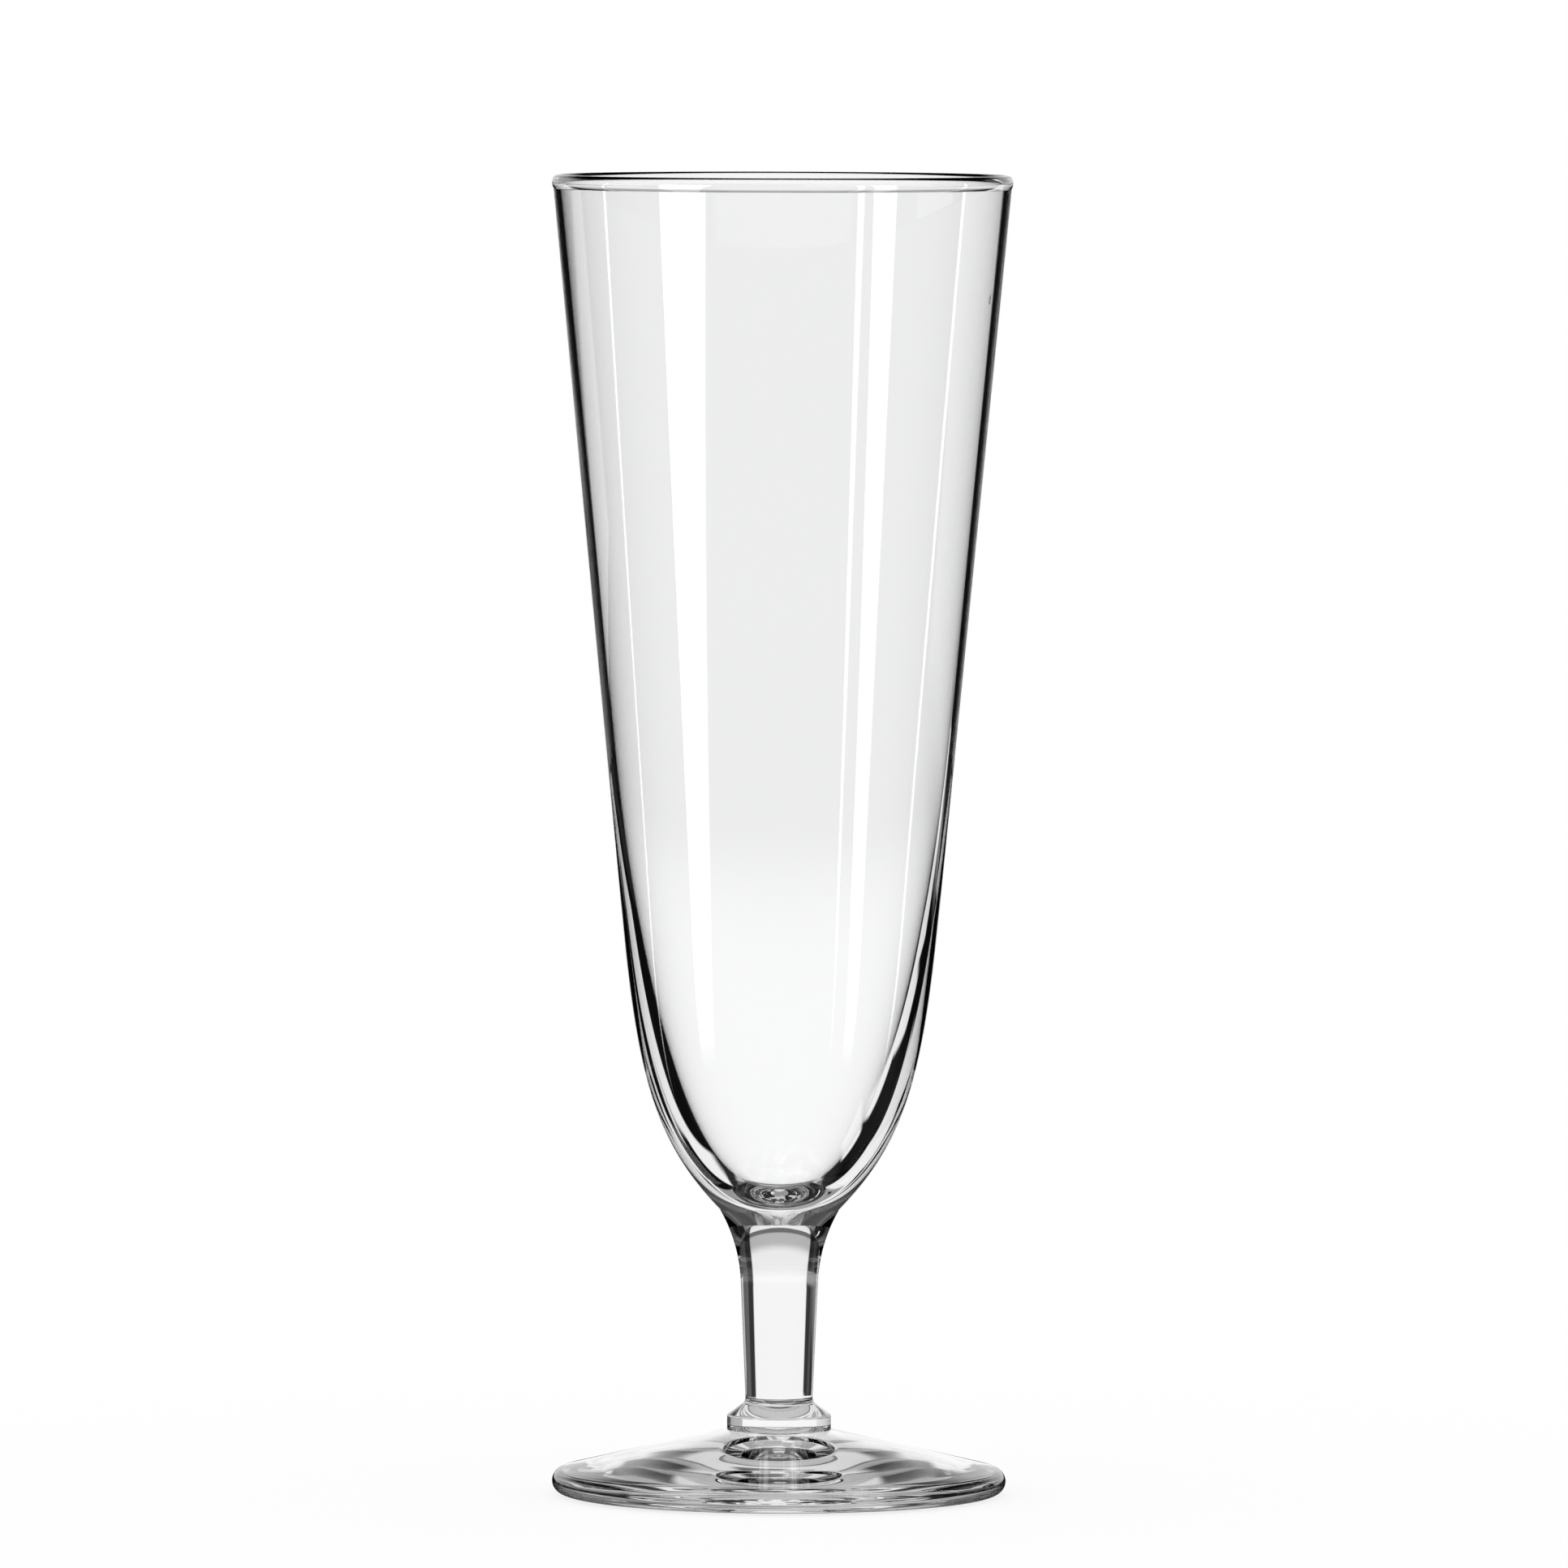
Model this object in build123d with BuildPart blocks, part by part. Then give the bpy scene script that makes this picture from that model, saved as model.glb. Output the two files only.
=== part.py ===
"""Footed pilsner glass: beaded rim, tapered bowl with a heavy base, solid stem, ring collar and hollow foot.

Millimetres, +Z up. The glass stands on z 0 with its axis on Z. The five gathers of glass meet on flat seams.
"""

import os
from math import acos, atan2, degrees, hypot, sqrt

from build123d import *

# Overall sizes
glass_height = 209.0
mouth_diameter = 73.0
foot_diameter = 72.0

# Foot, measured up from the table
foot_height = 10.1
foot_edge_radius = 1.9
rest_ring_width = 4.0
foot_hollow = 3.0

# Ring collar between the foot and the stem
collar_diameter = 16.5
collar_height = 5.2
collar_band = 2.3
collar_shoulder = 2.1
collar_edge_radius = 0.5
collar_neck_radius = 1.2

# Stem, a straight taper that flares out to carry the bowl
stem_bottom_diameter = 10.7
stem_waist_diameter = 12.3
stem_taper_length = 18.3
stem_length = 29.8

# Outside of the bowl, with heights measured up from its seat on the stem.
# The wall's line and the slope of the heel lead the curve of the belly, each for the length of its reach.
seat_diameter = 19.1
belly_diameter = 50.1
belly_height = 45.7
belly_reach = 25.3
heel_reach = 14.5
heel_slope = 46.0

# Inside of the bowl, with heights measured up from its floor.
# The liner's line and the level floor lead its curve.
floor_thickness = 3.0
floor_reach = 15.7
liner_reach = 35.3
thick_wall = 1.4
thick_wall_height = 70.2

# Rim
rim_wall = 1.2
bead_width = 1.65
bead_height = 2.6

# Levels of the seams and of the main points of the bowl
collar_level = foot_height
stem_level = collar_level + collar_height
seat_level = stem_level + stem_length
floor_level = seat_level + floor_thickness
bead_level = glass_height - bead_height / 2
rim_level = bead_level - bead_height / 2 * sqrt(1 - (rim_wall / bead_width) ** 2)

# Radii that more than one piece uses
wall_middle = (mouth_diameter - bead_width) / 2
collar_radius = collar_diameter / 2
stem_radius = stem_bottom_diameter / 2
seat_radius = seat_diameter / 2

os.makedirs("parts", exist_ok=True)

# Foot: a shallow cone that runs into a rounded edge, hollow under the middle
edge_centre = foot_diameter / 2 - foot_edge_radius
rise = foot_height - foot_edge_radius
run = edge_centre - collar_radius
edge_turn = 180 - degrees(atan2(rise, run) + acos(foot_edge_radius / hypot(rise, run)))
with BuildPart() as foot:
    with BuildSketch(Plane.XZ):
        with BuildLine():
            edge = CenterArc((edge_centre, foot_edge_radius), foot_edge_radius, -90, 90 + edge_turn)
            cone = Line(edge @ 1, (collar_radius, foot_height))
            top = Line(cone @ 1, (0, foot_height))
            middle = Line(top @ 1, (0, foot_hollow))
            hollow = TangentArc(middle @ 1, (edge_centre - rest_ring_width, 0), tangent=(1, 0))
            Line(hollow @ 1, edge @ 0)
        make_face()
    revolve(axis=Axis.Z)
foot.part.label = "foot"
export_step(foot.part, "parts/foot.step")

# Ring collar: an upright band under a sloped shoulder that turns up into the stem
with BuildPart() as stem_collar:
    with BuildSketch(Plane.XZ) as section:
        with BuildLine():
            Polyline(
                (0, collar_level),
                (collar_radius, collar_level),
                (collar_radius, collar_level + collar_band),
                (stem_radius, collar_level + collar_band + collar_shoulder),
                (stem_radius, stem_level),
                (0, stem_level),
                close=True,
            )
        make_face()
        band_edge, neck = section.vertices().sort_by(Axis.Y)[2:4]
        fillet(band_edge, collar_edge_radius)
        fillet(neck, collar_neck_radius)
    revolve(axis=Axis.Z)
stem_collar.part.label = "stem_collar"
export_step(stem_collar.part, "parts/stem_collar.step")

# Stem: solid, tapered, then flared in one sweep to the bowl's seat
with BuildPart() as stem:
    with BuildSketch(Plane.XZ):
        with BuildLine():
            taper = Line((stem_radius, stem_level), (stem_waist_diameter / 2, stem_level + stem_taper_length))
            flare = TangentArc(taper @ 1, (seat_radius, seat_level), tangent=taper % 1)
            Polyline(flare @ 1, (0, seat_level), (0, stem_level), taper @ 0)
        make_face()
    revolve(axis=Axis.Z)
stem.part.label = "stem"
export_step(stem.part, "parts/stem.step")

# Bowl: a straight taper outside over one rounding curve, with a wall that thickens down to the floor
with BuildPart() as bowl:
    with BuildSketch(Plane.XZ):
        with BuildLine():
            wall = Line(
                (wall_middle + rim_wall / 2, rim_level),
                (belly_diameter / 2, seat_level + belly_height),
            )
            seat_edge = Vector(seat_radius, seat_level)
            heel_lead = seat_edge + Vector(heel_reach, 0).rotate(Axis.Z, heel_slope)
            belly = Bezier(wall @ 1, wall @ 1 + wall % 1 * belly_reach, heel_lead, seat_edge)
            seat = Line(belly @ 1, (0, seat_level))
            axis = Line(seat @ 1, (0, floor_level))
            down_wall = (rim_level - floor_level - thick_wall_height) / (rim_level - (wall @ 1).Y)
            thick_point = wall @ down_wall - Vector(thick_wall, 0)
            liner = Line((wall_middle - rim_wall / 2, rim_level), thick_point)
            liner_lead = thick_point + liner % 1 * liner_reach
            Bezier(thick_point, liner_lead, (floor_reach, floor_level), axis @ 1)
            Line(liner @ 0, wall @ 0)
        make_face()
    revolve(axis=Axis.Z)
bowl.part.label = "bowl"
export_step(bowl.part, "parts/bowl.step")

# Rim bead: the fire polished lip, a rounded roll a little wider than the wall
with BuildPart() as rim_bead:
    with BuildSketch(Plane.XZ):
        with Locations((wall_middle, bead_level)):
            Ellipse(bead_width / 2, bead_height / 2)
        with Locations((wall_middle, rim_level)):
            Rectangle(bead_width, bead_height, align=(Align.CENTER, Align.MAX), mode=Mode.SUBTRACT)
    revolve(axis=Axis.Z)
rim_bead.part.label = "rim_bead"
export_step(rim_bead.part, "parts/rim_bead.step")
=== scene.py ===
"""Clear footed pilsner glass on a white sweep: its turned pieces, their glass and the studio."""

from math import acos, asin, atan2, ceil, cos, pi, radians, sin, sqrt, tan

import bpy
from bpy.props import FloatProperty, FloatVectorProperty, IntProperty, PointerProperty
from mathutils import Matrix, Vector


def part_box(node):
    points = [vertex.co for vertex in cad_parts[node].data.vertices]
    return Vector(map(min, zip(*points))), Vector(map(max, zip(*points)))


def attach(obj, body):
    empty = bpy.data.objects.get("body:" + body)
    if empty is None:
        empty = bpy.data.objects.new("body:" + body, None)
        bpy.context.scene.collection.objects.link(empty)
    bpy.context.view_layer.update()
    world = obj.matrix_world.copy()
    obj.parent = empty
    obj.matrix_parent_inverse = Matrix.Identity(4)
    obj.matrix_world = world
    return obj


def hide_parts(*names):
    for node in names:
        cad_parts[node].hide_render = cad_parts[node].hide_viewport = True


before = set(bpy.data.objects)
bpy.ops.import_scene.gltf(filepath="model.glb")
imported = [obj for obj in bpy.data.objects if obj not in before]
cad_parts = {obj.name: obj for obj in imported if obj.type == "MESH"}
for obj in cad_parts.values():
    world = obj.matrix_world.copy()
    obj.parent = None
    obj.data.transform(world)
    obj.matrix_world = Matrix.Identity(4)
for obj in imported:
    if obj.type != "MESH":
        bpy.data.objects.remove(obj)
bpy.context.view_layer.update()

bl_info = {
    "name": "Pilsner Glass",
    "version": (1, 0, 0),
    "blender": (4, 5, 0),
    "location": "View3D > Sidebar > Pilsner",
    "description": "Turns a clear footed pilsner glass piece by piece and sets it on a white sweep",
    "category": "Add Mesh",
}

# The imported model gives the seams' levels and the widths of the pieces
FOOT_BOX, COLLAR_BOX, STEM_BOX, BOWL_BOX, RIM_BOX = (
    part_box(node) for node in ("foot", "stem_collar", "stem", "bowl", "rim_bead")
)
PICTURE_WIDTH = 1932


def length(label, text, default):
    """A property that holds a size in metres."""
    return FloatProperty(name=label, description=text, default=default, min=0, unit="LENGTH", precision=5)


class GlassSizes(bpy.types.PropertyGroup):
    """Sizes of the glass, in metres."""

    foot_radius: length("Foot Radius", "Radius over the foot's rounded edge", FOOT_BOX[1][0])
    foot_height: length("Foot Height", "Table to the collar's seam", FOOT_BOX[1][2])
    foot_edge: length("Foot Edge", "Radius of the foot's rounded edge", 0.0019)
    rest_width: length("Rest Ring", "Width of the flat ring that the foot stands on", 0.004)
    hollow: length("Hollow", "Depth of the hollow under the foot", 0.003)
    collar_radius: length("Collar Radius", "Radius of the collar's band", COLLAR_BOX[1][0])
    collar_top: length("Collar Top", "Table to the stem's seam", COLLAR_BOX[1][2])
    collar_band: length("Collar Band", "Height of the collar's upright band", 0.0023)
    collar_shoulder: length("Collar Shoulder", "Height of the collar's sloped shoulder", 0.0021)
    collar_edge: length("Collar Edge", "Rounding at the top of the band", 0.0005)
    collar_neck: length("Collar Neck", "Rounding where the shoulder turns up into the stem", 0.0012)
    stem_radius: length("Stem Radius", "Radius at the foot of the stem", 0.00535)
    stem_waist: length("Stem Waist", "Radius where the stem's flare begins", 0.00615)
    stem_taper: length("Stem Taper", "Length of the stem's straight taper", 0.0183)
    seat_radius: length("Seat Radius", "Radius of the seam between stem and bowl", STEM_BOX[1][0])
    seat_level: length("Seat Level", "Table to the bowl's seam", BOWL_BOX[0][2])
    belly_radius: length("Belly Radius", "Outer radius where the straight wall ends", 0.02505)
    belly_height: length("Belly Height", "Seat to the end of the straight wall", 0.0457)
    belly_reach: length("Belly Reach", "How far the wall's line leads the curve of the belly", 0.0253)
    heel_reach: length("Heel Reach", "How far the heel's slope leads the curve of the belly", 0.0145)
    heel_slope: FloatProperty(
        name="Heel Slope", description="Slope of the heel where it meets the seat", default=radians(46),
        unit="ROTATION",
    )
    floor_thickness: length("Floor", "Thickness of the bowl's floor over the seat", 0.003)
    floor_reach: length("Floor Reach", "How far the level floor leads the curve of the inside", 0.0157)
    liner_reach: length("Liner Reach", "How far the liner's line leads the curve of the inside", 0.0353)
    thick_wall: length("Thick Wall", "Wall thickness where the liner straightens", 0.0014)
    thick_height: length("Liner Height", "Floor to where the liner straightens", 0.0702)
    rim_level: length("Rim Level", "Table to the bead's seam", RIM_BOX[0][2])
    rim_wall: length("Rim Wall", "Wall thickness at the bead's seam", 0.0012)
    bead_width: length("Bead Width", "Thickness of the rim's bead", 0.00165)
    bead_radius: length("Bead Radius", "Outer radius of the rim's bead", RIM_BOX[1][0])
    top_level: length("Top Level", "Table to the top of the bead", RIM_BOX[1][2])
    segments: IntProperty(name="Segments", description="Steps round each turned piece", default=288, min=24)


class GlassLook(bpy.types.PropertyGroup):
    """Colours of the glass and of the studio."""

    glass_tint: FloatVectorProperty(
        name="Glass Tint", description="Colour of the clear glass", subtype="COLOR",
        default=(0.995, 0.999, 0.997), min=0, max=1,
    )
    paper: FloatVectorProperty(
        name="Paper", description="Colour of the white sweep", subtype="COLOR",
        default=(1.0, 1.0, 1.0), min=0, max=1,
    )
    # The darkest colour: the unlit room in the world, and the painted shade of the floor as the glass sees it
    flag: FloatVectorProperty(
        name="Flag", description="Colour of the black flags beside the sweep", subtype="COLOR",
        default=(0.004, 0.004, 0.004), min=0, max=1,
    )


# Outlines. Each is a run of stations (radius, height, seam), from axis to axis round the outside of a piece.
# A station's seam value says whether the band that starts there is a melted seam, which has no surface.
# Arcs are cut by the turn and the length of a step, the other runs into a number of steps.
ARC_TURN, ARC_LENGTH = radians(2.5), 0.0016
CONE_STEPS, TAPER_STEPS, WALL_STEPS, LINER_STEPS = 40, 24, 12, 10
BELLY_STEPS, FLOOR_STEPS, BEAD_STEPS = 100, 190, 64


def tangent_arc(start, heading, end):
    """Points after start on the arc that leaves it along heading and ends at end, and the heading there."""
    start, end = Vector(start), Vector(end)
    heading = Vector(heading).normalized()
    normal = Vector((-heading.y, heading.x))
    chord = end - start
    reach = chord.length_squared / (2 * chord.dot(normal))
    centre = start + normal * reach
    spoke = start - centre
    turn = spoke.angle_signed(end - centre) * -1
    steps = max(2, ceil(max(abs(turn) / ARC_TURN, abs(turn * reach) / ARC_LENGTH)))
    points = [centre + Matrix.Rotation(turn * i / steps, 2) @ spoke for i in range(1, steps + 1)]
    return points, Matrix.Rotation(turn, 2) @ heading


def round_corner(before, corner, after, radius):
    """Points on the fillet of that radius between the lines before to corner and corner to after."""
    corner = Vector(corner)
    back, on = (Vector(before) - corner).normalized(), (Vector(after) - corner).normalized()
    half = back.angle(on) / 2
    start = corner + back * radius / tan(half)
    return [start] + tangent_arc(start, -back, corner + on * radius / tan(half))[0]


def straight(start, end, steps):
    """Points after start on the line to end."""
    start, end = Vector(start), Vector(end)
    return [start.lerp(end, i / steps) for i in range(1, steps + 1)]


def led_curve(start, lead, other_lead, end, steps):
    """Points after start on the cubic curve to end that two leading points shape."""
    a, b, c, d = (Vector(p) for p in (start, lead, other_lead, end))
    spread = [i / steps for i in range(1, steps + 1)]
    return [a * (1 - t)**3 + b * 3 * t * (1 - t)**2 + c * 3 * t**2 * (1 - t) + d * t**3 for t in spread]


def seam_top(edge):
    """Stations of a flat seam that closes a piece at the top, from its edge in to the axis."""
    return [(edge[0], edge[1], 1), (0, edge[1], 1)]


def seam_bottom(edge):
    """Stations of a flat seam that closes a piece at the bottom, from the axis out to its edge."""
    return [(0, edge[1], 1), (edge[0], edge[1], 0)]


def foot_outline(s):
    """Hollow underside, flat rest ring, rounded edge, cone and the seam under the collar."""
    edge_centre = Vector((s.foot_radius - s.foot_edge, s.foot_edge))
    seam_edge = Vector((s.collar_radius, s.foot_height))
    spoke = seam_edge - edge_centre
    touch = atan2(spoke.y, spoke.x) - acos(s.foot_edge / spoke.length)
    rest_inner = Vector((edge_centre.x - s.rest_width, 0))
    crown = Vector((0, s.hollow))
    hollow = [crown] + tangent_arc(crown, (1, 0), rest_inner)[0]
    turns = ceil((touch + pi / 2) / ARC_TURN)
    edge = [
        edge_centre + Vector((cos(a), sin(a))) * s.foot_edge
        for a in (-pi / 2 + (touch + pi / 2) * i / turns for i in range(turns + 1))
    ]
    shell = hollow + edge + straight(edge[-1], seam_edge, CONE_STEPS)
    return [(p.x, p.y, 0) for p in shell[:-1]] + seam_top(seam_edge)


def collar_outline(s):
    """Upright band, rounded edge, sloped shoulder and the neck that turns up into the stem."""
    low, high = s.foot_height, s.collar_top
    band = Vector((s.collar_radius, low + s.collar_band))
    neck = Vector((s.stem_radius, band.y + s.collar_shoulder))
    skin = [Vector((s.collar_radius, low))]
    skin += round_corner(skin[0], band, neck, s.collar_edge)
    skin += round_corner(band, neck, (s.stem_radius, high), s.collar_neck)
    top = (s.stem_radius, high)
    return seam_bottom(skin[0]) + [(p.x, p.y, 0) for p in skin[1:]] + seam_top(top)


def stem_outline(s):
    """Straight taper and the flare that carries the bowl."""
    foot = Vector((s.stem_radius, s.collar_top))
    waist = Vector((s.stem_waist, s.collar_top + s.stem_taper))
    seat = (s.seat_radius, s.seat_level)
    skin = straight(foot, waist, TAPER_STEPS) + tangent_arc(waist, waist - foot, seat)[0]
    return seam_bottom(foot) + [(p.x, p.y, 0) for p in skin[:-1]] + seam_top(skin[-1])


def bowl_outline(s):
    """Seat, heel, belly and tapered wall outside, then the liner and the dished floor inside."""
    middle = s.bead_radius - s.bead_width / 2
    lip_out = Vector((middle + s.rim_wall / 2, s.rim_level))
    lip_in = Vector((middle - s.rim_wall / 2, s.rim_level))
    belly = Vector((s.belly_radius, s.seat_level + s.belly_height))
    seat = Vector((s.seat_radius, s.seat_level))
    wall_lead = belly + (belly - lip_out).normalized() * s.belly_reach
    heel_lead = seat + Vector((cos(s.heel_slope), sin(s.heel_slope))) * s.heel_reach
    outside = [lip_out] + straight(lip_out, belly, WALL_STEPS)
    outside += led_curve(belly, wall_lead, heel_lead, seat, BELLY_STEPS)
    outside.reverse()
    floor = s.seat_level + s.floor_thickness
    thick = lip_out.lerp(belly, (s.rim_level - floor - s.thick_height) / (s.rim_level - belly.y))
    thick.x -= s.thick_wall
    liner_lead = thick + (thick - lip_in).normalized() * s.liner_reach
    inside = [lip_in] + straight(lip_in, thick, LINER_STEPS)
    inside += led_curve(thick, liner_lead, (s.floor_reach, floor), (0, floor), FLOOR_STEPS)
    skin = [(p.x, p.y, 0) for p in outside[1:-1]]
    lip = [(lip_out.x, lip_out.y, 1)]
    return seam_bottom(outside[0]) + skin + lip + [(p.x, p.y, 0) for p in inside]


def rim_outline(s):
    """The bead, an oval cut flat at its seam; the last station closes it on the first."""
    half_width = s.bead_width / 2
    share = s.rim_wall / s.bead_width
    half_height = (s.top_level - s.rim_level) / (1 + sqrt(1 - share**2))
    middle, level = s.bead_radius - half_width, s.top_level - half_height
    low = asin(sqrt(1 - share**2))
    ring = []
    for i in range(BEAD_STEPS + 1):
        a = -low + (pi + 2 * low) * i / BEAD_STEPS
        ring.append((middle + half_width * cos(a), level + half_height * sin(a), 0))
    ring[-1] = (*ring[-1][:2], 1)
    return ring + [ring[0]]


# Helpers for node trees
def link_chain(tree, *ends):
    """Links sockets in pairs: from, to, from, to."""
    for source, target in zip(ends[::2], ends[1::2]):
        tree.links.new(source, target)


def maths(tree, operation, *values):
    """A Math node of a shader or geometry tree; values are numbers or sockets. Returns its output."""
    node = tree.nodes.new("ShaderNodeMath")
    node.operation = operation
    for socket, value in zip(node.inputs, values):
        if isinstance(value, bpy.types.NodeSocket):
            tree.links.new(value, socket)
        else:
            socket.default_value = value
    return node.outputs[0]


def smooth_step(tree, value, low, high):
    """0 below low, 1 above high, smooth between. The limits are numbers or sockets."""
    node = tree.nodes.new("ShaderNodeMapRange")
    node.interpolation_type = "SMOOTHSTEP"
    for socket, given in zip(node.inputs[:3], (value, low, high)):
        if isinstance(given, bpy.types.NodeSocket):
            tree.links.new(given, socket)
        else:
            socket.default_value = given
    return node.outputs[0]


# Geometry Nodes: the lathe that turns an outline about the axis
WELD = 2e-7
CREASE = radians(25)


def lathe_tree():
    """Turns a run of stations about Z into a closed skin, with its seam bands in a material of their own."""
    tree = bpy.data.node_groups.new("Turned Glass", "GeometryNodeTree")
    tree.is_modifier = True
    sockets = {}
    for label, kind in (
        ("Outline", "NodeSocketGeometry"), ("Segments", "NodeSocketInt"), ("Crease Angle", "NodeSocketFloat"),
        ("Glass", "NodeSocketMaterial"), ("Seam", "NodeSocketMaterial"),
    ):
        sockets[label] = tree.interface.new_socket(label, in_out="INPUT", socket_type=kind)
    tree.interface.new_socket("Skin", in_out="OUTPUT", socket_type="NodeSocketGeometry")
    new, link = tree.nodes.new, tree.links.new
    given, out = new("NodeGroupInput"), new("NodeGroupOutput")

    # One row of the grid for each station, one column for each step round
    count = new("GeometryNodeAttributeDomainSize")
    count.component = "MESH"
    link(given.outputs["Outline"], count.inputs[0])
    columns = maths(tree, "ADD", given.outputs["Segments"], 1)
    grid = new("GeometryNodeMeshGrid")
    link(count.outputs["Point Count"], grid.inputs["Vertices X"])
    link(columns, grid.inputs["Vertices Y"])

    index = new("GeometryNodeInputIndex").outputs[0]
    row = maths(tree, "FLOOR", maths(tree, "DIVIDE", maths(tree, "ADD", index, 0.5), columns))
    column = maths(tree, "SUBTRACT", index, maths(tree, "MULTIPLY", row, columns))
    angle = maths(tree, "MULTIPLY", maths(tree, "DIVIDE", column, given.outputs["Segments"]), -2 * pi)

    station = new("GeometryNodeSampleIndex")
    station.data_type, station.domain = "FLOAT_VECTOR", "POINT"
    place = new("GeometryNodeInputPosition")
    link_chain(
        tree, given.outputs["Outline"], station.inputs["Geometry"], place.outputs[0], station.inputs["Value"],
        row, station.inputs["Index"],
    )
    parts = new("ShaderNodeSeparateXYZ")
    link(station.outputs[0], parts.inputs[0])
    turned = new("ShaderNodeCombineXYZ")
    link_chain(
        tree, maths(tree, "MULTIPLY", parts.outputs["X"], maths(tree, "COSINE", angle)), turned.inputs["X"],
        maths(tree, "MULTIPLY", parts.outputs["X"], maths(tree, "SINE", angle)), turned.inputs["Y"],
        parts.outputs["Z"], turned.inputs["Z"],
    )
    shaped = new("GeometryNodeSetPosition")
    link_chain(
        tree, grid.outputs["Mesh"], shaped.inputs["Geometry"], turned.outputs[0], shaped.inputs["Position"],
    )

    # Each face takes the seam value of the station that its band starts from
    band = maths(
        tree, "FLOOR", maths(tree, "DIVIDE", maths(tree, "ADD", index, 0.5), given.outputs["Segments"])
    )
    mark = new("GeometryNodeInputNamedAttribute")
    mark.data_type = "FLOAT"
    mark.inputs["Name"].default_value = "seam"
    seam = new("GeometryNodeSampleIndex")
    seam.data_type, seam.domain = "FLOAT", "POINT"
    link_chain(
        tree, given.outputs["Outline"], seam.inputs["Geometry"], mark.outputs[0], seam.inputs["Value"],
        band, seam.inputs["Index"],
    )
    held = new("GeometryNodeStoreNamedAttribute")
    held.data_type, held.domain = "FLOAT", "FACE"
    held.inputs["Name"].default_value = "seam"
    link_chain(tree, shaped.outputs[0], held.inputs["Geometry"], seam.outputs[0], held.inputs["Value"])

    # The first and last columns and the poles close up
    closed = new("GeometryNodeMergeByDistance")
    closed.inputs["Distance"].default_value = WELD
    link(held.outputs[0], closed.inputs["Geometry"])
    smooth = new("GeometryNodeSetShadeSmooth")
    smooth.domain = "FACE"
    link(closed.outputs[0], smooth.inputs["Geometry"])
    crease = new("GeometryNodeSetShadeSmooth")
    crease.domain = "EDGE"
    crease.inputs["Shade Smooth"].default_value = False
    bend = new("GeometryNodeInputMeshEdgeAngle")
    sharp = maths(tree, "GREATER_THAN", bend.outputs["Unsigned Angle"], given.outputs["Crease Angle"])
    link_chain(tree, smooth.outputs[0], crease.inputs["Geometry"], sharp, crease.inputs["Selection"])

    # Glass everywhere, then the seams' own material
    glass, melted = new("GeometryNodeSetMaterial"), new("GeometryNodeSetMaterial")
    marked = new("GeometryNodeInputNamedAttribute")
    marked.data_type = "FLOAT"
    marked.inputs["Name"].default_value = "seam"
    realize = new("GeometryNodeRealizeInstances")
    link_chain(
        tree, crease.outputs[0], realize.inputs["Geometry"], realize.outputs[0], glass.inputs["Geometry"],
        given.outputs["Glass"], glass.inputs["Material"], glass.outputs[0], melted.inputs["Geometry"],
        given.outputs["Seam"], melted.inputs["Material"],
        maths(tree, "GREATER_THAN", marked.outputs[0], 0.5), melted.inputs["Selection"],
        melted.outputs[0], out.inputs["Skin"],
    )
    return tree, {label: socket.identifier for label, socket in sockets.items()}


def turn_piece(node, stations, material):
    """Turns an outline into a closed glass piece that stands for a CAD node."""
    sizes = bpy.context.scene.pilsner_sizes
    outline = bpy.data.meshes.new(f"{node}_outline")
    outline.from_pydata(
        [(r, 0, z) for r, z, _ in stations], [(i, i + 1) for i in range(len(stations) - 1)], []
    )
    marks = outline.attributes.new("seam", "FLOAT", "POINT")
    marks.data.foreach_set("value", [mark for _, _, mark in stations])
    blank = bpy.data.objects.new(f"{node}_blank", outline)
    bpy.context.collection.objects.link(blank)

    tree, sockets = lathe_tree()
    lathe = blank.modifiers.new("Turned Glass", "NODES")
    lathe.node_group = tree
    lathe[sockets["Segments"]] = sizes.segments
    lathe[sockets["Crease Angle"]] = CREASE
    lathe[sockets["Glass"]] = material
    lathe[sockets["Seam"]] = seam_material()
    bpy.context.view_layer.update()
    turned = blank.evaluated_get(bpy.context.evaluated_depsgraph_get())
    skin = bpy.data.meshes.new_from_object(turned)
    bpy.data.objects.remove(blank)
    bpy.data.meshes.remove(outline)
    bpy.data.node_groups.remove(tree)
    if not skin.polygons:
        raise RuntimeError(f"{node} came out with no faces")

    skin.name = f"{node}_glass"
    piece = bpy.data.objects.new(f"{node}_glass", skin)
    bpy.context.collection.objects.link(piece)
    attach(piece, "root")
    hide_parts(node)
    return piece


# Materials
GLASS_IOR = 1.52

# How each piece was worked: its glass, waves in a metre, their depth, seeds in a metre, and roughness
WORKING = {
    "foot": ("pressed_foot_glass", 90, 4e-5, 70, 0.006),
    "stem_collar": ("collar_glass", 140, 2e-5, 70, 0.004),
    "stem": ("stem_glass", 160, 2e-5, 70, 0.004),
    "bowl": ("blown_bowl_glass", 70, 3e-5, 60, 0.003),
    "rim_bead": ("rim_glass", 120, 1e-5, 60, 0.002),
}


def seam_material():
    """A melted seam: both pieces are one glass there, so light passes with no surface to meet."""
    material = bpy.data.materials.get("melted_seam")
    if material is None:
        material = bpy.data.materials.new("melted_seam")
        material.use_nodes = True
        shader = material.node_tree.nodes["Principled BSDF"]
        shader.inputs["Alpha"].default_value = 0
        shader.inputs["Base Color"].default_value = (1, 1, 1, 1)
    return material


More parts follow.
